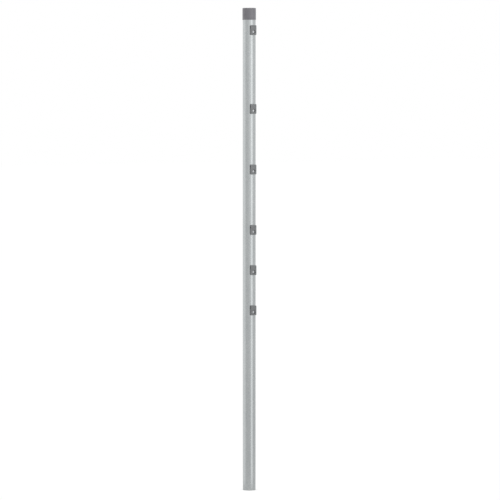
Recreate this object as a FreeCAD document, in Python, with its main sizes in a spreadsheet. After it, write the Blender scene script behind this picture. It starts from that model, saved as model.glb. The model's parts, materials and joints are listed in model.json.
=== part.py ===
import FreeCAD, Part
import os
import Sketcher

# Round steel fence post: a galvanised tube, a push-on plastic cap and six plastic wire
# clips, each held by one blind rivet. Millimetres, +Z up along the tube, origin on the
# tube's axis at its foot, clips facing -Y.

SIZES = [
    # Tube: welded from strip, square cut at both ends
    ("tube_diameter", 32.0, "outside of the tube"),
    ("tube_wall", 1.2, "strip thickness"),
    ("tube_length", 1198.0, "steel alone, foot to top end"),
    ("tube_deburr", 0.25, "chamfer on the cut edges"),
    ("seam_bead", 0.5, "round of the weld bead inside the tube"),
    # Cap: moulded, pushed over the top end until the end of the tube seats in it
    ("cap_height", 29.5, "mouth to top"),
    ("cap_top", 2.0, "thickness of the closed end"),
    ("cap_wall", 0.8, "skirt thickness at the mouth"),
    ("cap_draft", 0.15, "how much the skirt narrows from mouth to top"),
    ("cap_fit", 0.05, "gap between skirt and tube"),
    ("cap_edge", 1.4, "round of the top edge"),
    ("cap_lead", 0.35, "chamfer inside the mouth"),
    ("gate_diameter", 3.0, "moulding gate mark on the top"),
    ("gate_depth", 0.3, "depth of that mark"),
    # Clip heights, measured down the tube from the cap
    ("top_gap", 13.5, "mouth of the cap to the top clip"),
    ("top_pitch", 195.0, "top clip to the one below it"),
    ("mid_pitch", 150.0, "between the middle clips"),
    ("low_pitch", 100.0, "between the lower clips"),
    # Clip: moulded hook with a slot, open at the top, for a fence wire
    ("clip_width", 15.0, "across the tube"),
    ("clip_height", 24.0, "along the tube"),
    ("clip_fit", 0.02, "gap between saddle and tube"),
    ("clip_corner", 2.0, "corner round seen from the front"),
    ("clip_edge", 0.7, "round along the front face"),
    ("back_wall", 1.2, "plastic between tube and slot"),
    ("slot_width", 2.6, "room for the wire"),
    ("slot_depth", 9.0, "top of the clip to the bottom of the slot"),
    ("slot_flat", 0.6, "flat left in the slot's rounded bottom"),
    ("tongue", 2.4, "plastic in front of the slot"),
    ("lead_in", 0.8, "chamfer that guides the wire in"),
    ("lead_drop", 1.6, "height of that chamfer"),
    ("nub", 0.5, "bump that keeps the wire in"),
    ("nub_drop", 1.4, "height of the bump's lower slope"),
    # Blind rivet: aluminium body, steel mandrel left inside
    ("rivet_drop", 4.4, "middle of the clip down to the rivet"),
    ("rivet_seat", 4.2, "plastic under the rivet head"),
    ("head_diameter", 6.5, "rivet head"),
    ("head_room", 0.75, "gap round the head in its counterbore"),
    ("head_height", 1.2, "crown of the dome above the seat"),
    ("head_rim", 0.4, "height of the head's straight rim"),
    ("shank_diameter", 3.2, "rivet shank"),
    ("shank_fit", 0.05, "gap round the shank in its holes"),
    ("bulb_diameter", 4.8, "set end inside the tube"),
    ("bulb_length", 3.0, "length of the set end"),
    ("bulb_fit", 0.02, "gap between set end and tube"),
    ("stem_diameter", 1.8, "mandrel stem left in the rivet"),
    ("stem_fit", 0.02, "gap round the stem"),
    ("stem_break", 0.5, "crown of the dome down to the broken stem"),
    ("pull_diameter", 2.9, "mandrel head that swelled the rivet"),
    ("pull_length", 1.8, "length of that head"),
]

# Steps from the top clip down to the lowest one
PITCHES = ["top_pitch", "mid_pitch", "mid_pitch", "low_pitch", "low_pitch"]

# Largest differences still read as no distance, for sizes and for edges of a solid
NO_SIZE = 1e-9
SAME_PLACE = 1e-4

doc = FreeCAD.newDocument("fence_post")
sheet = doc.addObject("Spreadsheet::Sheet", "sizes")
for row, (alias, size, meaning) in enumerate(SIZES, start=1):
    sheet.set(f"A{row}", meaning)
    sheet.set(f"B{row}", str(size))
    sheet.setAlias(f"B{row}", alias)
doc.recompute()

# Radii about the tube's axis, and reaches out from it along a clip's rivet
tube_radius = "(sizes.tube_diameter / 2)"
bore_radius = f"({tube_radius} - sizes.tube_wall)"
slot_back = f"({tube_radius} + sizes.back_wall)"
slot_front = f"({slot_back} + sizes.slot_width)"
clip_front = f"({slot_front} + sizes.tongue)"
head_seat = f"({tube_radius} + sizes.rivet_seat)"
head_crown = f"({head_seat} + sizes.head_height)"
bulb_radius = "(sizes.bulb_diameter / 2)"
bulb_face = f"(sqrt({bore_radius} ^ 2 - {bulb_radius} ^ 2) - sizes.bulb_fit)"
bulb_end = f"({bulb_face} - sizes.bulb_length)"

# Radii about a rivet's own axis
head_radius = "(sizes.head_diameter / 2)"
shank_radius = "(sizes.shank_diameter / 2)"
drilled_radius = f"({shank_radius} + sizes.shank_fit)"
stem_radius = "(sizes.stem_diameter / 2)"

# Heights on the post: the cap, then the middle of each clip from the lowest up
cap_crown = "(sizes.tube_length + sizes.cap_top)"
cap_mouth = f"({cap_crown} - sizes.cap_height)"
half_clip = "(sizes.clip_height / 2)"
clip_levels = [f"({cap_mouth} - sizes.top_gap - {half_clip})"]
for pitch in PITCHES:
    clip_levels.insert(0, f"({clip_levels[0]} - sizes.{pitch})")


def size_of(expression):
    """The number that an expression on the sheet gives."""
    return float(sheet.evalExpression(expression))


def new_body(label):
    body = doc.addObject("PartDesign::Body", label)
    body.Label = label
    return body


def new_sketch(body, name, plane, offset="0"):
    """A sketch on an origin plane of the body, moved out along the plane's normal."""
    sketch = body.newObject("Sketcher::SketchObject", name)
    support = next(part for part in body.Origin.OriginFeatures if part.Role == plane)
    sketch.AttachmentSupport = [(support, "")]
    sketch.MapMode = "FlatFace"
    sketch.setExpression("AttachmentOffset.Base.z", offset)
    return sketch


def pin(sketch, geometry, vertex, x, y):
    """Ties a point of a sketch to expressions for its place from the sketch's origin."""
    for kind, expression, axis in (("DistanceX", x, -2), ("DistanceY", y, -1)):
        distance = size_of(expression)
        if abs(distance) < NO_SIZE:
            sketch.addConstraint(Sketcher.Constraint("PointOnObject", geometry, vertex, axis))
            continue
        ends = (-1, 1, geometry, vertex)
        if distance < 0:
            ends = (geometry, vertex, -1, 1)
            expression = f"-({expression})"
        number = sketch.addConstraint(Sketcher.Constraint(kind, *ends, abs(distance)))
        sketch.setExpression(f"Constraints[{number}]", expression)


def draw_chain(sketch, corners):
    """Straight sides through corners, each a pair of expressions, without the closing side."""
    points = [FreeCAD.Vector(size_of(x), size_of(y), 0) for x, y in corners]
    for start, end in zip(points, points[1:]):
        side = sketch.addGeometry(Part.LineSegment(start, end))
        pin(sketch, side, 1, *corners[side])
        if side > 0:
            sketch.addConstraint(Sketcher.Constraint("Coincident", side - 1, 2, side, 1))
    pin(sketch, side, 2, *corners[-1])
    return points


def draw_outline(sketch, corners):
    """A closed outline of straight sides."""
    points = draw_chain(sketch, corners)
    closing = sketch.addGeometry(Part.LineSegment(points[-1], points[0]))
    sketch.addConstraint(Sketcher.Constraint("Coincident", closing - 1, 2, closing, 1))
    sketch.addConstraint(Sketcher.Constraint("Coincident", closing, 2, 0, 1))


def draw_circle(sketch, radius, x="0", y="0"):
    centre = FreeCAD.Vector(size_of(x), size_of(y), 0)
    circle = Part.Circle(centre, FreeCAD.Vector(0, 0, 1), size_of(radius))
    geometry = sketch.addGeometry(circle)
    pin(sketch, geometry, 3, x, y)
    number = sketch.addConstraint(Sketcher.Constraint("Radius", geometry, size_of(radius)))
    sketch.setExpression(f"Constraints[{number}]", radius)


def pad(body, sketch, length):
    feature = body.newObject("PartDesign::Pad", f"{sketch.Name}_pad")
    feature.Profile = sketch
    feature.setExpression("Length", length)
    return feature


def cut_through(body, sketch, both_ways=False):
    """Cuts from the sketch on along its normal, or to both sides of it."""
    feature = body.newObject("PartDesign::Pocket", f"{sketch.Name}_cut")
    feature.Profile = sketch
    feature.Type = "ThroughAll"
    feature.Midplane = both_ways
    feature.Reversed = not both_ways
    return feature


def revolve(body, sketch, axis):
    feature = body.newObject("PartDesign::Revolution", f"{sketch.Name}_turned")
    feature.Profile = sketch
    feature.ReferenceAxis = (sketch, [axis])
    feature.Angle = 360
    return feature


def dress(body, kind, base, size, is_chosen):
    """A Fillet or Chamfer on those edges of the base feature that is_chosen accepts."""
    doc.recompute()
    names = [
        f"Edge{number}"
        for number, edge in enumerate(base.Shape.Edges, start=1)
        if is_chosen(edge)
    ]
    feature = body.newObject(f"PartDesign::{kind}", f"{base.Name}_{kind.lower()}")
    feature.Base = (base, names)
    feature.setExpression("Radius" if kind == "Fillet" else "Size", size)
    return feature


def lies_at(edge, axis, place):
    """True if the whole edge has that coordinate on the axis X, Y or Z."""
    low = getattr(edge.BoundBox, f"{axis}Min")
    high = getattr(edge.BoundBox, f"{axis}Max")
    return max(abs(low - size_of(place)), abs(high - size_of(place))) < SAME_PLACE


def runs_along(edge, axis):
    """True if the edge has length on that axis only."""
    box = edge.BoundBox
    across = [getattr(box, f"{other}Length") for other in "XYZ" if other != axis]
    return max(across) < SAME_PLACE


# Tube: a steel strip rolled round and welded along its back, with a rivet hole behind
# each clip
def make_tube():
    body = new_body("post_tube")
    section = new_sketch(body, "tube_section", "XY_Plane")
    draw_circle(section, tube_radius)
    draw_circle(section, bore_radius)
    pad(body, section, "sizes.tube_length")

    holes = new_sketch(body, "tube_rivet_holes", "XZ_Plane")
    for level in clip_levels:
        draw_circle(holes, drilled_radius, y=f"{level} - sizes.rivet_drop")
    drilled = cut_through(body, holes)

    def is_cut_end(edge):
        return lies_at(edge, "Z", "0") or lies_at(edge, "Z", "sizes.tube_length")

    dress(body, "Chamfer", drilled, "sizes.tube_deburr", is_cut_end)

    bead = new_sketch(body, "tube_weld_bead", "XY_Plane", "sizes.tube_deburr")
    draw_circle(bead, "sizes.seam_bead", y=bore_radius)
    pad(body, bead, "sizes.tube_length - 2 * sizes.tube_deburr")
    return body


# Cap: a thin moulded thimble whose closed end sits on the cut end of the tube
def make_cap():
    body = new_body("post_cap")
    inside = f"({tube_radius} + sizes.cap_fit)"
    outside = f"({inside} + sizes.cap_wall)"
    profile = new_sketch(body, "cap_profile", "XZ_Plane")
    draw_outline(profile, [
        ("0", "sizes.tube_length"),
        (inside, "sizes.tube_length"),
        (inside, f"{cap_mouth} + sizes.cap_lead"),
        (f"{inside} + sizes.cap_lead", cap_mouth),
        (outside, cap_mouth),
        (f"{outside} - sizes.cap_draft", cap_crown),
        ("0", cap_crown),
    ])
    shell = revolve(body, profile, "V_Axis")
    dress(body, "Fillet", shell, "sizes.cap_edge", lambda edge: lies_at(edge, "Z", cap_crown))

    gate = new_sketch(body, "cap_gate_mark", "XY_Plane", f"{cap_crown} - sizes.gate_depth")
    draw_circle(gate, "sizes.gate_diameter / 2")
    cut_through(body, gate)
    return body


# Clip: a block hollowed at the back to sit on the tube, slotted from above to leave a
# springy tongue in front of the wire, and counterbored for its rivet
def make_clip(number, level):
    body = new_body(f"wire_clip_{number}")
    half_width = "(sizes.clip_width / 2)"
    front = new_sketch(body, f"clip_{number}_front", "XZ_Plane")
    draw_outline(front, [
        (f"-{half_width}", f"-{half_clip}"),
        (half_width, f"-{half_clip}"),
        (half_width, half_clip),
        (f"-{half_width}", half_clip),
    ])
    block = pad(body, front, clip_front)
    cornered = dress(body, "Fillet", block, "sizes.clip_corner", lambda edge: runs_along(edge, "Y"))

    def is_front_edge(edge):
        return lies_at(edge, "Y", f"-{clip_front}")

    dress(body, "Fillet", cornered, "sizes.clip_edge", is_front_edge)

    saddle = new_sketch(body, f"clip_{number}_saddle", "XY_Plane")
    draw_circle(saddle, f"{tube_radius} + sizes.clip_fit")
    cut_through(body, saddle, both_ways=True)

    slot_bottom = f"({half_clip} - sizes.slot_depth)"
    slot_round = "(sizes.slot_width - sizes.slot_flat) / 2"
    lead_foot = f"({half_clip} - sizes.lead_drop)"
    above = f"({half_clip} + sizes.slot_width)"
    slot = new_sketch(body, f"clip_{number}_slot", "YZ_Plane")
    draw_outline(slot, [
        (f"-{slot_back}", above),
        (f"-{slot_back}", slot_bottom),
        (f"-{slot_front}", slot_bottom),
        (f"-{slot_front}", f"{lead_foot} - sizes.nub_drop"),
        (f"-({slot_front} - sizes.nub)", lead_foot),
        (f"-({slot_front} + sizes.lead_in)", half_clip),
        (f"-({slot_front} + sizes.lead_in)", above),
    ])
    slotted = cut_through(body, slot, both_ways=True)

    def is_slot_corner(edge):
        return runs_along(edge, "X") and lies_at(edge, "Z", slot_bottom)

    dress(body, "Fillet", slotted, slot_round, is_slot_corner)

    counterbore = new_sketch(body, f"clip_{number}_counterbore", "XZ_Plane", head_seat)
    draw_circle(counterbore, f"{head_radius} + sizes.head_room", y="-sizes.rivet_drop")
    cut_through(body, counterbore)

    hole = new_sketch(body, f"clip_{number}_hole", "XZ_Plane")
    draw_circle(hole, drilled_radius, y="-sizes.rivet_drop")
    cut_through(body, hole)

    body.setExpression("Placement.Base.z", level)
    return body


# Rivet: a dome head in the clip's counterbore, a shank through clip and tube wall, and
# the end that the mandrel has swollen against the inside of the tube
def make_rivet(number, level):
    body = new_body(f"rivet_{number}")
    stem_hole = f"({stem_radius} + sizes.stem_fit)"
    dome_rise = "(sizes.head_height - sizes.head_rim)"
    dome_radius = f"(({head_radius} ^ 2 + {dome_rise} ^ 2) / (2 * {dome_rise}))"
    dome_centre = f"({head_crown} - {dome_radius})"
    dome_mouth = f"({dome_centre} + sqrt({dome_radius} ^ 2 - {stem_hole} ^ 2))"
    profile = new_sketch(body, f"rivet_{number}_profile", "YZ_Plane")
    points = draw_chain(profile, [
        (f"-({head_seat} + sizes.head_rim)", head_radius),
        (f"-{head_seat}", head_radius),
        (f"-{head_seat}", shank_radius),
        (f"-{bulb_face}", shank_radius),
        (f"-{bulb_face}", bulb_radius),
        (f"-({bulb_face} + {bulb_end}) / 2", bulb_radius),
        (f"-{bulb_end}", shank_radius),
        (f"-{bulb_end}", stem_hole),
        (f"-{dome_mouth}", stem_hole),
    ])
    rim, mouth = points[0], points[-1]
    centre = FreeCAD.Vector(-size_of(dome_centre), 0, 0)
    middle = (rim + mouth) / 2 - centre
    crown = centre + middle * (size_of(dome_radius) / middle.Length)
    dome = profile.addGeometry(Part.Arc(rim, crown, mouth))
    last_side = dome - 1
    starts_at_rim = profile.getPoint(dome, 1).isEqual(rim, SAME_PLACE)
    rim_end, mouth_end = (1, 2) if starts_at_rim else (2, 1)
    profile.addConstraint(Sketcher.Constraint("Coincident", dome, rim_end, 0, 1))
    profile.addConstraint(Sketcher.Constraint("Coincident", dome, mouth_end, last_side, 2))
    profile.addConstraint(Sketcher.Constraint("PointOnObject", dome, 3, -1))
    revolve(body, profile, "H_Axis")
    body.setExpression("Placement.Base.z", f"{level} - sizes.rivet_drop")
    return body


# Mandrel: the steel stem that set the rivet, broken off below the dome, with its head
# against the rivet's swollen end
def make_mandrel(number, level):
    body = new_body(f"mandrel_{number}")
    pull_radius = "(sizes.pull_diameter / 2)"
    pull_tip = f"({bulb_end} - sizes.pull_length)"
    broken_end = f"({head_crown} - sizes.stem_break)"
    profile = new_sketch(body, f"mandrel_{number}_profile", "YZ_Plane")
    draw_outline(profile, [
        (f"-{broken_end}", "0"),
        (f"-{broken_end}", stem_radius),
        (f"-{bulb_end}", stem_radius),
        (f"-{bulb_end}", pull_radius),
        (f"-({bulb_end} + {pull_tip}) / 2", pull_radius),
        (f"-{pull_tip}", stem_radius),
        (f"-{pull_tip}", "0"),
    ])
    revolve(body, profile, "H_Axis")
    body.setExpression("Placement.Base.z", f"{level} - sizes.rivet_drop")
    return body


def group(label, bodies):
    """Several loose solids of one kind, kept in one sub-part."""
    compound = doc.addObject("Part::Compound", label)
    compound.Label = label
    compound.Links = bodies
    return compound


numbered_levels = list(enumerate(clip_levels, start=1))
pieces = [make_tube(), make_cap()]
pieces += [make_clip(number, level) for number, level in numbered_levels]
pieces.append(group("clip_rivets", [make_rivet(number, level) for number, level in numbered_levels]))
pieces.append(
    group("rivet_mandrels", [make_mandrel(number, level) for number, level in numbered_levels])
)
doc.recompute()

for thing in doc.Objects:
    if "Invalid" in thing.State or "Error" in thing.State:
        raise RuntimeError(f"{thing.Label} did not build: {thing.State}")

os.makedirs("parts", exist_ok=True)
for piece in pieces:
    if piece.Shape.isNull() or not piece.Shape.isValid():
        raise RuntimeError(f"{piece.Label} has no valid shape")
    piece.Shape.exportStep(f"parts/{piece.Label}.step")
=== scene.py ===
import json
import math
from functools import partial

import bpy
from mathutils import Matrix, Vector


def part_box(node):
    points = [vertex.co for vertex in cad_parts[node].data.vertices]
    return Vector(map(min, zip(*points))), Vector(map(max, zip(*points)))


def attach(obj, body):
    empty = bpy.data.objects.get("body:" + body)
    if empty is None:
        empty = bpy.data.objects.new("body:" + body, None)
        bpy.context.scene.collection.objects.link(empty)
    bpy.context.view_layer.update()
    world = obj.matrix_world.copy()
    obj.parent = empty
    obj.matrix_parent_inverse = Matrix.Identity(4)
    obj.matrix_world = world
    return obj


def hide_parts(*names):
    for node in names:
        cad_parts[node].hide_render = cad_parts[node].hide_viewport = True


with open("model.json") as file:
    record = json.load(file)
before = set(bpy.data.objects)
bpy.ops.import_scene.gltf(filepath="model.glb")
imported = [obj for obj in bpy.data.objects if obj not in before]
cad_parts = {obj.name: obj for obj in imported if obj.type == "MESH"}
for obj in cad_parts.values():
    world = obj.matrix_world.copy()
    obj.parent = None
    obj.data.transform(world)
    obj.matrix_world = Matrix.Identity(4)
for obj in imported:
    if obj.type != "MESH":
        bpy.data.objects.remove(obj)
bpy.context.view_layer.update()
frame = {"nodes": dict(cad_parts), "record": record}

# The tube. Steel strip is rolled round, seam welded along the back and galvanised, then cut
# square to length and deburred. Six holes up its front take the rivets of the clips.
TUBE_RADIUS = 0.016
TUBE_WALL = 0.0012
TUBE_BORE = TUBE_RADIUS - TUBE_WALL
TUBE_LENGTH = 1.198
TUBE_DEBURR = 0.00025
WELD_BEAD = 0.0005
CUT_FACE = 0.00012
CUT_FADE = 0.00026
WELD_HALF_WIDTH = 0.0014
WELD_FADE = 0.0005
WELD_WANDER = 0.0007
CRYSTAL_WANDER = 0.002
RIVET_BELOW_SEAT = 0.0074
ZINC_DARK = (0.318, 0.338, 0.343, 1)
ZINC_LIGHT = (0.422, 0.437, 0.438, 1)
ZINC_ON_WELD = (0.432, 0.447, 0.452, 1)
ZINC_IN_BORE = (0.25, 0.255, 0.255, 1)
SAWN_STEEL = (0.3, 0.29, 0.28, 1)
FULL_TURN = 2 * math.pi
FRONT, BACK = -1, 1
SHEET_COLUMNS, SHEET_ROWS = 4, 3
SHEET_GAP = 0.012
OUTSIDE_LENGTHS = 10
INSIDE_TILE = OUTSIDE_LENGTHS
ENDS_TILE = OUTSIDE_LENGTHS + 1
FOOT_BAND, TOP_BAND, END_BAND_HEIGHT = 0.0, 0.45, 0.4
HOLE_BAND, HOLE_BAND_HEIGHT = 0.9, 0.1
rivet_points = [
    (0.0, 0.0, mount["pos_m"][2] - RIVET_BELOW_SEAT)
    for mount in frame["record"]["mounts"]
    if mount["name"].startswith("wire_seat")
]


class Link:
    """One output socket. Arithmetic on it adds the nodes that work the result out."""

    def __init__(self, tree, socket):
        self.tree = tree
        self.socket = socket

    def node(self, kind, settings, values, output=0):
        made = self.tree.nodes.new(kind)
        for name, setting in settings.items():
            setattr(made, name, setting)
        for name, value in values.items():
            for item in value if isinstance(value, list) else [value]:
                if isinstance(item, Link):
                    self.tree.links.new(item.socket, made.inputs[name])
                else:
                    made.inputs[name].default_value = item
        return Link(self.tree, made.outputs[output])

    def work(self, operation, *sides):
        kinds = [side.socket.type for side in sides if isinstance(side, Link)]
        if "VECTOR" in kinds or "RGBA" in kinds:
            sides = [(side,) * 3 if isinstance(side, (int, float)) else side for side in sides]
            return self.node("ShaderNodeVectorMath", {"operation": operation}, dict(enumerate(sides)))
        return self.node("ShaderNodeMath", {"operation": operation}, dict(enumerate(sides)))

    def __add__(self, other):
        return self.work("ADD", self, other)

    def __radd__(self, other):
        return self.work("ADD", other, self)

    def __sub__(self, other):
        return self.work("SUBTRACT", self, other)

    def __rsub__(self, other):
        return self.work("SUBTRACT", other, self)

    def __mul__(self, other):
        return self.work("MULTIPLY", self, other)

    def __rmul__(self, other):
        return self.work("MULTIPLY", other, self)

    def __truediv__(self, other):
        return self.work("DIVIDE", self, other)

    def __pow__(self, power):
        return self.work("POWER", self, power)

    def __abs__(self):
        return self.work("ABSOLUTE", self)

    def __gt__(self, other):
        return self.work("GREATER_THAN", self, other)

    def __lt__(self, other):
        return self.work("LESS_THAN", self, other)

    def sway(self, amount):
        return (self - 0.5) * amount

    def rise(self, low, high):
        limits = {"Value": self, "From Min": low, "From Max": high}
        return self.node("ShaderNodeMapRange", {"interpolation_type": "SMOOTHSTEP"}, limits)

    def blend(self, without, full):
        factor, first_colour, second_colour, mixed_colour = 0, 6, 7, 2
        values = {factor: self, first_colour: without, second_colour: full}
        return self.node("ShaderNodeMix", {"data_type": "RGBA"}, values, mixed_colour)

    def part(self, axis):
        return self.node("ShaderNodeSeparateXYZ", {}, {"Vector": self}, axis)

    def grain(self, per_metre, detail=2.0, stretch=(1.0, 1.0, 1.0)):
        values = {"Vector": self * stretch, "Scale": per_metre, "Detail": detail, "Roughness": 0.55}
        return self.node("ShaderNodeTexNoise", {}, values, "Fac").rise(0.3, 0.7)

    def bump(self, height):
        return self.node("ShaderNodeBump", {}, {"Strength": 1.0, "Distance": height, "Height": self})


def new_finish(name):
    finish = bpy.data.materials.new(name)
    finish.use_nodes = True
    return finish


def place_on(finish):
    tree = finish.node_tree
    return Link(tree, tree.nodes.new("ShaderNodeTexCoord").outputs["Object"])


def coat(finish, values):
    shader = finish.node_tree.nodes["Principled BSDF"]
    for name, value in values.items():
        if isinstance(value, Link):
            finish.node_tree.links.new(value.socket, shader.inputs[name])
        else:
            shader.inputs[name].default_value = value


def grow(name, points, sizes, shape, finish):
    tree = bpy.data.node_groups.new(name, "GeometryNodeTree")
    tree.interface.new_socket("Points", in_out="INPUT", socket_type="NodeSocketGeometry")
    for label, value in sizes.items():
        kind = "NodeSocketInt" if isinstance(value, int) else "NodeSocketFloat"
        tree.interface.new_socket(label, in_out="INPUT", socket_type=kind)
    tree.interface.new_socket("Piece", in_out="OUTPUT", socket_type="NodeSocketGeometry")
    start = tree.nodes.new("NodeGroupInput")
    size = {label: Link(tree, start.outputs[label]) for label in sizes}
    made = shape(Link(tree, start.outputs["Points"]), size)
    made = made.node("GeometryNodeRealizeInstances", {}, {"Geometry": made})
    made = made.node("GeometryNodeSetMaterial", {}, {"Geometry": made, "Material": finish})
    tree.links.new(made.socket, tree.nodes.new("NodeGroupOutput").inputs["Piece"])

    base = bpy.data.meshes.new(name + "_points")
    base.from_pydata(points, [], [])
    piece = bpy.data.objects.new(name, base)
    bpy.context.scene.collection.objects.link(piece)
    modifier = piece.modifiers.new("grow", "NODES")
    modifier.node_group = tree
    for socket in tree.interface.items_tree:
        if socket.in_out == "INPUT" and socket.name in sizes:
            modifier[socket.identifier] = sizes[socket.name]
    depsgraph = bpy.context.evaluated_depsgraph_get()
    mesh = bpy.data.meshes.new_from_object(
        piece.evaluated_get(depsgraph), preserve_all_data_layers=True, depsgraph=depsgraph)
    mesh.materials.pop(index=0)  # the bare points' own empty slot
    piece.modifiers.clear()
    piece.data = mesh
    return piece


def moved(shape, **offset):
    offset = shape.node("ShaderNodeCombineXYZ", {}, offset)
    return shape.node("GeometryNodeTransform", {}, {"Geometry": shape, "Translation": offset})


def joined(shape, gap):
    return shape.node("GeometryNodeMergeByDistance", {}, {"Geometry": shape, "Distance": gap})


def crisp(shape):
    crease = math.radians(30)
    shape = shape.node("GeometryNodeSetShadeSmooth", {"domain": "FACE"}, {"Geometry": shape})
    turn = shape.node("GeometryNodeInputMeshEdgeAngle", {}, {})
    return shape.node("GeometryNodeSetShadeSmooth", {"domain": "EDGE"},
                      {"Geometry": shape, "Selection": turn > crease, "Shade Smooth": False})


def across(points, shape, spin=0.0):
    facing = points.node("ShaderNodeCombineXYZ", {}, {"X": math.radians(90), "Y": spin})
    shape = points.node("GeometryNodeInstanceOnPoints", {},
                        {"Points": points, "Instance": shape, "Rotation": facing})
    return shape.node("GeometryNodeRealizeInstances", {}, {"Geometry": shape})


def tube_shape(points, size):
    outside, wall, length, deburr, bead_radius = (
        size[label] for label in ("Outside radius", "Wall", "Length", "Deburr", "Bead"))
    middle = outside - wall / 2
    section = points.node("GeometryNodeCurvePrimitiveQuadrilateral", {},
                          {"Width": wall, "Height": length})
    section = section.node("GeometryNodeFilletCurve", {"mode": "POLY"},
                           {"Curve": section, "Count": 1, "Radius": deburr})
    last_corner = 7  # the section's run from here back to its start is the tube's outer side
    outer_side = points.node("GeometryNodeInputIndex", {}, {}) > last_corner - 0.5
    section = section.node("GeometryNodeSubdivideCurve", {},
                           {"Curve": section, "Cuts": outer_side * size["Rings"]})
    hoop = points.node("GeometryNodeCurvePrimitiveCircle", {},
                       {"Resolution": size["Facets"], "Radius": middle})
    tube = section.node("GeometryNodeCurveToMesh", {}, {"Curve": hoop, "Profile Curve": section})
    tube = moved(tube, Z=length / 2)

    bead = points.node("GeometryNodeMeshCylinder", {}, {
        "Vertices": size["Bead facets"], "Side Segments": size["Bead steps"],
        "Radius": bead_radius, "Depth": length - deburr * 2})
    bead = moved(bead, Y=outside - wall, Z=length / 2)
    lumps = points.node("GeometryNodeInputPosition", {}, {}).grain(per_metre=260)
    lumps = lumps * bead_radius * size["Bead lumps"]
    outward = points.node("GeometryNodeInputNormal", {}, {})
    bead = bead.node("GeometryNodeSetPosition", {},
                     {"Geometry": bead, "Offset": outward * (lumps * -1)})
    tube = tube.node("GeometryNodeMeshBoolean", {"operation": "UNION", "solver": "MANIFOLD"},
                     {"Mesh 2": [tube, bead]})

    drill = points.node("GeometryNodeMeshCylinder", {}, {
        "Vertices": size["Hole facets"], "Radius": size["Hole"], "Depth": wall * 3})
    drill = moved(drill, Z=middle)
    tube = tube.node("GeometryNodeMeshBoolean", {"operation": "DIFFERENCE", "solver": "MANIFOLD"},
                     {"Mesh 1": tube, "Mesh 2": across(points, drill)})
    return crisp(joined(tube, gap=0.000005))


def turns_round(spots, centre, start):
    """The spots' angles round the tube from its front or back, each kept near their face's own."""
    middle = math.atan2(centre.x, start * centre.y)
    for spot in spots:
        turn = math.atan2(spot.x, start * spot.y) - middle
        yield middle + (turn + math.pi) % FULL_TURN - math.pi


def laid_outside(spots, centre):
    length = (TUBE_LENGTH - 2 * TUBE_DEBURR) / OUTSIDE_LENGTHS
    tile = int((centre.z - TUBE_DEBURR) / length)
    turns = turns_round(spots, centre, FRONT)
    return tile, [(turn / FULL_TURN + 0.5, (spot.z - TUBE_DEBURR) / length - tile)
                  for turn, spot in zip(turns, spots)]


def laid_inside(spots, centre):
    width = FULL_TURN * TUBE_BORE + 2 * WELD_BEAD
    places = []
    for turn, spot in zip(turns_round(spots, centre, BACK), spots):
        over_bead = math.copysign(WELD_BEAD + spot.xy.length - TUBE_BORE, turn)
        places.append(((turn * TUBE_BORE + over_bead) / width + 0.5, spot.z / TUBE_LENGTH))
    return INSIDE_TILE, places


def laid_end(spots, centre):
    band = FOOT_BAND if centre.z < TUBE_LENGTH / 2 else TOP_BAND
    innermost = TUBE_BORE - WELD_BEAD
    places = []
    for turn, spot in zip(turns_round(spots, centre, FRONT), spots):
        depth = (spot.xy.length - innermost) / (TUBE_RADIUS - innermost)
        places.append((turn / FULL_TURN + 0.5, band + depth * END_BAND_HEIGHT))
    return ENDS_TILE, places


def laid_hole(spots, centre):
    heights = [point[2] for point in rivet_points]
    hole = min(range(len(heights)), key=lambda item: abs(heights[item] - centre.z))
    middle, *around = (Vector((at.x, at.z - heights[hole], 0)) for at in (centre, *spots))
    places = []
    for turn, spot in zip(turns_round(around, middle, BACK), spots):
        sideways = (hole + turn / FULL_TURN + 0.5) / len(heights)
        depth = (spot.xy.length - TUBE_BORE) / TUBE_WALL
        places.append((sideways, HOLE_BAND + depth * HOLE_BAND_HEIGHT))
    return ENDS_TILE, places


def lay_flat(mesh):
    """Unrolls the tube on a sheet of tiles, a UV map named OFBake for its finish: the outside in
    lengths, then the inside in one tile, and the cut ends and hole walls in the last."""
    hair = 0.00001
    share = 1 - 2 * SHEET_GAP
    sheet = mesh.uv_layers.new(name="OFBake").uv
    for face in mesh.polygons:
        spots = [mesh.vertices[corner].co for corner in face.vertices]
        radii = [spot.xy.length for spot in spots]
        if not 2 * TUBE_DEBURR < face.center.z < TUBE_LENGTH - 2 * TUBE_DEBURR:
            laid = laid_end
        elif min(radii) > TUBE_RADIUS - hair:
            laid = laid_outside
        elif max(radii) < TUBE_BORE + hair:
            laid = laid_inside
        else:
            laid = laid_hole
        tile, places = laid(spots, face.center)
        row, column = divmod(tile, SHEET_COLUMNS)
        for corner, (sideways, upwards) in zip(face.loop_indices, places):
            sheet[corner].vector = ((column + SHEET_GAP + share * sideways) / SHEET_COLUMNS,
                                    (row + SHEET_GAP + share * upwards) / SHEET_ROWS)


zinc = new_finish("galvanised_steel")
place = place_on(zinc)
side_way, depth_way, height = (place.part(axis) for axis in "XYZ")
from_axis = (side_way * side_way + depth_way * depth_way) ** 0.5
ragged = place.node("ShaderNodeTexNoise", {}, {"Vector": place, "Scale": 800, "Detail": 4}, "Color")
crystal = (place + ragged.sway(CRYSTAL_WANDER)) * (1, 1, 0.5)
flakes = place.node("ShaderNodeTexVoronoi", {}, {"Vector": crystal, "Scale": 650}, "Color").part("X")
clouds = place.grain(per_metre=26, detail=3, stretch=(1, 1, 0.25))
rolling = place.grain(per_metre=2400, stretch=(1, 1, 0.004))
weld_edge = abs(side_way) + place.grain(per_metre=500, detail=3) * WELD_WANDER
weld = (1 - weld_edge.rise(WELD_HALF_WIDTH, WELD_HALF_WIDTH + WELD_FADE)) * (depth_way > 0)
inside = 1 - from_axis.rise(TUBE_BORE + 0.0002, TUBE_BORE + 0.0008)
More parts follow.
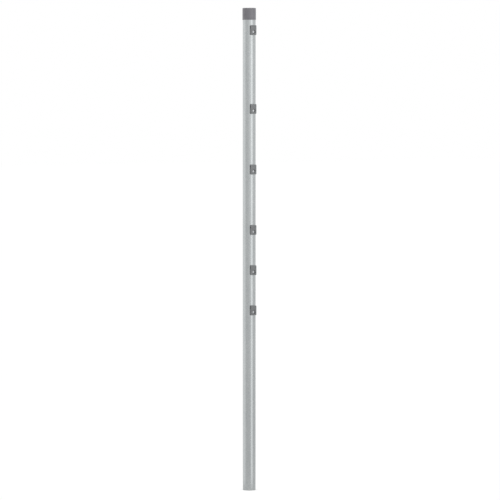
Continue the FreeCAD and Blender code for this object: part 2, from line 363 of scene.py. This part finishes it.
sawn_foot = 1 - height.rise(CUT_FACE, CUT_FADE)
sawn_top = height.rise(TUBE_LENGTH - CUT_FADE, TUBE_LENGTH - CUT_FACE)
sawn = sawn_foot + sawn_top
shade = 0.5 + flakes.sway(0.5) + clouds.sway(0.2) + rolling.sway(0.3)
colour = shade.blend(ZINC_DARK, ZINC_LIGHT)
colour = (weld * 0.8).blend(colour, ZINC_ON_WELD)
colour = (inside * 0.8).blend(colour, ZINC_IN_BORE)
colour = sawn.blend(colour, SAWN_STEEL)
coat(zinc, {
    "Base Color": colour,
    "Metallic": 1.0,
    "Roughness": 0.2 + flakes * 0.06 + rolling * 0.06 + weld * 0.12 + inside * 0.2 + sawn * 0.15,
    "Normal": (rolling * 0.25 + flakes * 0.2 + clouds + weld * rolling).bump(0.000006),
})

tube = grow("galvanised_tube", rivet_points, {
    "Outside radius": TUBE_RADIUS, "Wall": TUBE_WALL, "Length": TUBE_LENGTH, "Deburr": TUBE_DEBURR,
    "Facets": 128, "Rings": 199, "Bead": WELD_BEAD, "Bead facets": 12, "Bead steps": 400,
    "Bead lumps": 0.3, "Hole": 0.00165, "Hole facets": 32,
}, tube_shape, zinc)
lay_flat(tube.data)
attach(tube, "root")
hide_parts("post_tube")

# The cap. A thin-walled cup moulded in grey plastic with a fine matt texture and a round moulding
# mark on its top, pushed over the tube until it seats.
CAP_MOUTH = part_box("post_cap")[0].z
CAP_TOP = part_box("post_cap")[1].z
CAP_DARK = (0.111, 0.108, 0.121, 1)
CAP_LIGHT = (0.16, 0.157, 0.171, 1)
CAP_WORN = (0.3, 0.295, 0.31, 1)
cap_plastic = new_finish("cap_plastic")
place = place_on(cap_plastic)
height = place.part("Z")
pores = place.grain(per_metre=2600, detail=3)
clouds = place.grain(per_metre=70, detail=4)
pushed = place.grain(per_metre=800, stretch=(1, 1, 0.03))
nicks = place.grain(per_metre=800, detail=3, stretch=(0.25, 1, 1)).rise(0.92, 1.0)
near_top = height.rise(CAP_TOP - 0.0014, CAP_TOP - 0.0004)
top_face = height.rise(CAP_TOP - 0.0003, CAP_TOP - 0.0001)
rubbed = near_top * (1 - top_face)
lip = 1 - height.rise(CAP_MOUTH + 0.0002, CAP_MOUTH + 0.0009)
shade = 0.5 + clouds.sway(0.45) + pores.sway(0.4) + pushed.sway(0.25)
colour = shade.blend(CAP_DARK, CAP_LIGHT)
colour = ((rubbed + lip) * clouds * 0.5 + nicks * 0.16).blend(colour, CAP_WORN)
coat(cap_plastic, {
    "Base Color": colour,
    "Roughness": 0.34 + clouds.sway(0.12) + pores * 0.08 - rubbed * 0.08,
    "Normal": (pores + pushed * 0.4).bump(0.000016),
})
frame["nodes"]["post_cap"].material_slots[0].material = cap_plastic

# The wire clips. Six blocks moulded in grey plastic, each with a slot for a fence wire across its
# front and a recess for the rivet head below it; each lies against the tube on its one rivet.
CLIP_HALF_WIDTH = 0.0075
CLIP_FRONT = 0.0222
WIRE_SEAT = 0.0185
SLOT_HALF_WIDTH = 0.0012
SLOT_FADE = 0.0006
CLIP_DARK = (0.104, 0.109, 0.112, 1)
CLIP_LIGHT = (0.155, 0.162, 0.166, 1)
# lighter colour for wire rub and scuffs, and for a painted highlight along the front corners
CLIP_WEAR_AND_EDGE_HIGHLIGHT = (0.27, 0.27, 0.275, 1)
clip_plastic = new_finish("clip_plastic")
place = place_on(clip_plastic)
side_way, depth_way = (place.part(axis) for axis in "XY")
pores = place.grain(per_metre=2400, detail=3)
clouds = place.grain(per_metre=110, detail=4)
flow = place.grain(per_metre=420, stretch=(1, 1, 0.12))
side_edge = abs(side_way).rise(CLIP_HALF_WIDTH - 0.0011, CLIP_HALF_WIDTH - 0.0002)
front_edge = (0 - depth_way).rise(CLIP_FRONT - 0.0012, CLIP_FRONT - 0.0003)
# the front corners: the lighter colour put on them is partly edge wear and partly a painted highlight
corner = side_edge * front_edge
off_seat = abs(depth_way + WIRE_SEAT)
in_slot = 1 - off_seat.rise(SLOT_HALF_WIDTH, SLOT_HALF_WIDTH + SLOT_FADE)
in_slot = in_slot * (abs(side_way) < CLIP_HALF_WIDTH - 0.0003)
wire_rub = in_slot * place.grain(per_metre=1400, stretch=(0.06, 1, 1)).rise(0.4, 0.9)
scuffs = place.grain(per_metre=900, detail=3, stretch=(0.2, 1, 0.6)).rise(0.9, 1.0)
shade = 0.5 + clouds.sway(0.55) + pores.sway(0.4) + flow.sway(0.4)
colour = shade.blend(CLIP_DARK, CLIP_LIGHT)
# painted highlight on the front corners, mixed with wear there; the slot and scuff marks are wear
colour = (corner * clouds * 0.8 + wire_rub * 0.5 + scuffs * 0.2).blend(colour, CLIP_WEAR_AND_EDGE_HIGHLIGHT)
coat(clip_plastic, {
    "Base Color": colour,
    "Roughness": 0.42 + clouds.sway(0.12) + pores * 0.08 - corner * 0.08 - wire_rub * 0.1,
    "Normal": (pores + flow * 0.5 - wire_rub * 0.5).bump(0.000024),
})
for node in sorted(frame["nodes"]):
    if node.startswith("wire_clip"):
        frame["nodes"][node].material_slots[0].material = clip_plastic

# The rivets. Blind rivets of bright aluminium, one through each clip and the tube's wall: a low
# dome head in the clip's recess, and a far end that swelled inside the tube as it was set.
RIVET_SEAT = 0.0202
RIVET_SET_FACE = 0.014584
RIVET_SET_LENGTH = 0.003
RIVET_BORE = 0.00092
RIVET_DARK = (0.32, 0.33, 0.34, 1)
RIVET_LIGHT = (0.44, 0.45, 0.46, 1)
RIVET_PINCHED = (0.36, 0.36, 0.37, 1)


def turned(section, facets):
    hoop_radius = 0.004
    section = moved(section, X=-hoop_radius)
    hoop = section.node("GeometryNodeCurvePrimitiveCircle", {},
                        {"Resolution": facets, "Radius": hoop_radius})
    made = section.node("GeometryNodeCurveToMesh", {}, {"Curve": hoop, "Profile Curve": section})
    return crisp(joined(made, gap=0.000002))


def profile_corner(points, radius, reach):
    return points.node("ShaderNodeCombineXYZ", {}, {"X": radius, "Y": 0 - reach})


def runs_between(points, corners):
    return [points.node("GeometryNodeCurvePrimitiveLine", {}, {"Start": start, "End": end})
            for start, end in zip(corners, corners[1:])]


def any_turn(points):
    lowest, highest, result = 2, 3, 1
    values = {lowest: 0.0, highest: 6.28, "Seed": 7}
    return points.node("FunctionNodeRandomValue", {"data_type": "FLOAT"}, values, result)


def rivet_shape(points, size):
    corner = partial(profile_corner, points)

    def on_dome(radius):
        return corner(radius, dome_centre + (dome * dome - radius * radius) ** 0.5)

    head, shank, bulb, bore = (size[label] for label in ("Head radius", "Shank", "Bulb", "Bore"))
    seat, face, drop = size["Seat"], size["Set face"], size["Dome height"]
    rim = seat + size["Rim"]
    far = face - size["Set length"]
    dome = (head * head + drop * drop) / (drop * 2)
    dome_centre = rim + drop - dome
    mouth = on_dome(bore)
    edge = corner(head, rim)
    crown = points.node("GeometryNodeCurveArc", {"mode": "POINTS"}, {
        "Start": mouth, "Middle": on_dome((bore + head) / 2), "End": edge,
        "Resolution": size["Dome steps"]})
    straight = runs_between(points, [
        edge, corner(head, seat), corner(shank, seat), corner(shank, face), corner(bulb, face),
        corner(bulb, (face + far) / 2), corner(shank, far), corner(bore, far), mouth])
    section = points.node("GeometryNodeJoinGeometry", {}, {"Geometry": [crown, *straight]})
    rivet = turned(section, size["Facets"])
    spot = points.node("GeometryNodeInputPosition", {}, {})
    rivet = rivet.node("GeometryNodeStoreNamedAttribute",
                       {"data_type": "FLOAT_VECTOR", "domain": "POINT"},
                       {"Geometry": rivet, "Name": "rivet_place", "Value": spot})
    return across(points, rivet, any_turn(points))


aluminium = new_finish("rivet_aluminium")
place = place_on(aluminium)
spot = place.node("ShaderNodeAttribute", {"attribute_name": "rivet_place"}, {}, "Vector")
from_axis = (spot.part("X") * spot.part("X") + spot.part("Y") * spot.part("Y")) ** 0.5
rings = spot.node("ShaderNodeTexNoise", {"noise_dimensions": "1D"},
                  {"W": from_axis, "Scale": 9000}, "Fac").rise(0.3, 0.7)
dents = place.grain(per_metre=1100, detail=3)
clouds = place.grain(per_metre=240, detail=3)
pinched = 1 - from_axis.rise(RIVET_BORE + 0.00003, RIVET_BORE + 0.00048)
shade = 0.5 + clouds.sway(0.4) + rings.sway(0.4)
colour = shade.blend(RIVET_DARK, RIVET_LIGHT)
colour = (pinched * 0.45).blend(colour, RIVET_PINCHED)
coat(aluminium, {
    "Base Color": colour,
    "Metallic": 1.0,
    "Roughness": 0.28 + rings * 0.1 + dents * 0.08,
    "Normal": (rings * 0.4 + dents).bump(0.000012),
})

rivets = grow("rivet_bodies", rivet_points, {
    "Seat": RIVET_SEAT, "Rim": 0.0004, "Dome height": 0.0008, "Dome steps": 16,
    "Head radius": 0.00325, "Shank": 0.0016, "Set face": RIVET_SET_FACE,
    "Set length": RIVET_SET_LENGTH, "Bulb": 0.0024, "Bore": RIVET_BORE, "Facets": 64,
}, rivet_shape, aluminium)
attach(rivets, "root")
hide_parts("clip_rivets")

# The mandrels. The steel pin that pulled each rivet tight snapped off inside its head, and its
# stem and round foot stay locked in the rivet.
SNAPPED_END = RIVET_SEAT + 0.0007
PIN_DARK = (0.3, 0.3, 0.31, 1)
PIN_LIGHT = (0.48, 0.48, 0.49, 1)
PIN_SNAPPED = (0.2, 0.195, 0.19, 1)


def mandrel_shape(points, size):
    corner = partial(profile_corner, points)
    stem, head, snap, foot = (
        size[label] for label in ("Stem", "Head radius", "Snapped end", "Head face"))
    tip = foot - size["Head length"]
    section = points.node("GeometryNodeJoinGeometry", {}, {"Geometry": runs_between(points, [
        corner(0.0, snap), corner(stem, snap), corner(stem, foot), corner(head, foot),
        corner(head, (foot + tip) / 2), corner(stem, tip), corner(0.0, tip)])})
    return across(points, turned(section, size["Facets"]))


steel = new_finish("mandrel_steel")
place = place_on(steel)
reach = 0 - place.part("Y")
torn = place.grain(per_metre=2600, detail=4)
drawn = place.grain(per_metre=1800, stretch=(1, 0.03, 1))
snapped = reach.rise(SNAPPED_END - 0.00004, SNAPPED_END - 0.00001)
shade = 0.5 + drawn.sway(0.5) + torn.sway(0.4)
colour = shade.blend(PIN_DARK, PIN_LIGHT)
colour = (snapped * 0.6).blend(colour, PIN_SNAPPED)
coat(steel, {
    "Base Color": colour,
    "Metallic": 1.0,
    "Roughness": 0.34 + drawn * 0.08 + snapped * 0.2,
    "Normal": (drawn * 0.1 + snapped * torn * 2).bump(0.00003),
})

mandrels = grow("rivet_pins", rivet_points, {
    "Snapped end": SNAPPED_END, "Stem": 0.0009, "Head face": RIVET_SET_FACE - RIVET_SET_LENGTH,
    "Head radius": 0.00145, "Head length": 0.0018, "Facets": 40,
}, mandrel_shape, steel)
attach(mandrels, "root")
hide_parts("rivet_mandrels")

# The studio. A pale floor in a white room, and five tall soft panels that dim towards the floor:
# one along the left side, a narrow one that draws the bright line down the tube, and three faint
# washes. The camera stands to the left of the clips, a little below the top of the post.
VIEW_TURN = math.radians(-32.5)
FLOOR_REACH = 30.0
FLOOR_GREY = (0.5, 0.5, 0.5, 1)
FLOOR_GLOW = (0.505, 0.505, 0.505, 1)
BLACK = (0, 0, 0, 1)
WHITE = (1, 1, 1, 1)
PANEL_HEIGHT = 1.4
LENS_LENGTH = 231.84
EYE_DISTANCE = 8.0
EYE_HEIGHT = 1.0003
AIM_HEIGHT = 0.5994
AIM_RIGHT = 0.002


def level_way(turn):
    return Vector((math.sin(turn), -math.cos(turn), 0))


def seen_plainly(tree):
    path = tree.nodes.new("ShaderNodeLightPath")
    camera, glossy, through = (
        Link(tree, path.outputs[f"Is {ray} Ray"]) for ray in ("Camera", "Glossy", "Transmission"))
    return camera.node("ShaderNodeMath", {"operation": "ADD", "use_clamp": True},
                       {0: camera + glossy, 1: through})


world = bpy.data.worlds.new("white_room")
bpy.context.scene.world = world
world.use_nodes = True
world.node_tree.nodes["Background"].inputs["Color"].default_value = WHITE

floor_mesh = bpy.data.meshes.new("floor")
floor_corners = [(x * FLOOR_REACH, y * FLOOR_REACH, 0) for x, y in ((-1, -1), (1, -1), (1, 1), (-1, 1))]
floor_mesh.from_pydata(floor_corners, [], [(0, 1, 2, 3)])
floor = bpy.data.objects.new("floor", floor_mesh)
bpy.context.scene.collection.objects.link(floor)
paper = new_finish("pale_paper")
coat(paper, {
    "Base Color": FLOOR_GREY, "Roughness": 0.9, "Specular IOR Level": 0.0,
    "Emission Color": seen_plainly(paper.node_tree).blend(BLACK, FLOOR_GLOW), "Emission Strength": 1.0,
})
floor_mesh.materials.append(paper)


def panel(name, angle, spread, distance, top_glow, foot_glow):
    width = 2 * distance * math.tan(math.radians(spread))
    lamp = bpy.data.lights.new(name, "AREA")
    lamp.shape = "RECTANGLE"
    lamp.size, lamp.size_y = width, PANEL_HEIGHT
    lamp.energy = math.pi * width * PANEL_HEIGHT
    lamp.use_nodes = True
    shine = lamp.node_tree
    height = Link(shine, shine.nodes.new("ShaderNodeNewGeometry").outputs["Position"]).part("Z")
    fade = height * ((top_glow - foot_glow) / PANEL_HEIGHT) + foot_glow
    shine.links.new(fade.socket, shine.nodes["Emission"].inputs["Strength"])
    made = bpy.data.objects.new(name, lamp)
    away = level_way(VIEW_TURN + math.radians(angle))
    made.location = away * distance + Vector((0, 0, PANEL_HEIGHT / 2))
    made.rotation_euler = away.to_track_quat("Z", "Y").to_euler()
    made.visible_camera = False
    bpy.context.scene.collection.objects.link(made)


panel("left_panel", angle=-100, spread=35, distance=0.12, top_glow=0.5, foot_glow=0.37)
panel("right_panel", angle=45, spread=15, distance=0.15, top_glow=1.1, foot_glow=0.71)
panel("right_wash", angle=95, spread=40, distance=0.3, top_glow=0.29, foot_glow=0.03)
panel("front_wash", angle=15, spread=22, distance=0.3, top_glow=0.47, foot_glow=0.0)
panel("left_wash", angle=-30, spread=24, distance=0.3, top_glow=0.15, foot_glow=0.0)

lens = bpy.data.cameras.new("camera")
lens.lens = LENS_LENGTH
camera = bpy.data.objects.new("camera", lens)
rightward = level_way(VIEW_TURN + math.radians(90))
target = rightward * AIM_RIGHT + Vector((0, 0, AIM_HEIGHT))
camera.location = level_way(VIEW_TURN) * EYE_DISTANCE + rightward * AIM_RIGHT + Vector((0, 0, EYE_HEIGHT))
camera.rotation_euler = (camera.location - target).to_track_quat("Z", "Y").to_euler()
bpy.context.scene.collection.objects.link(camera)
bpy.context.scene.camera = camera
bpy.context.scene.view_settings.view_transform = "Standard"
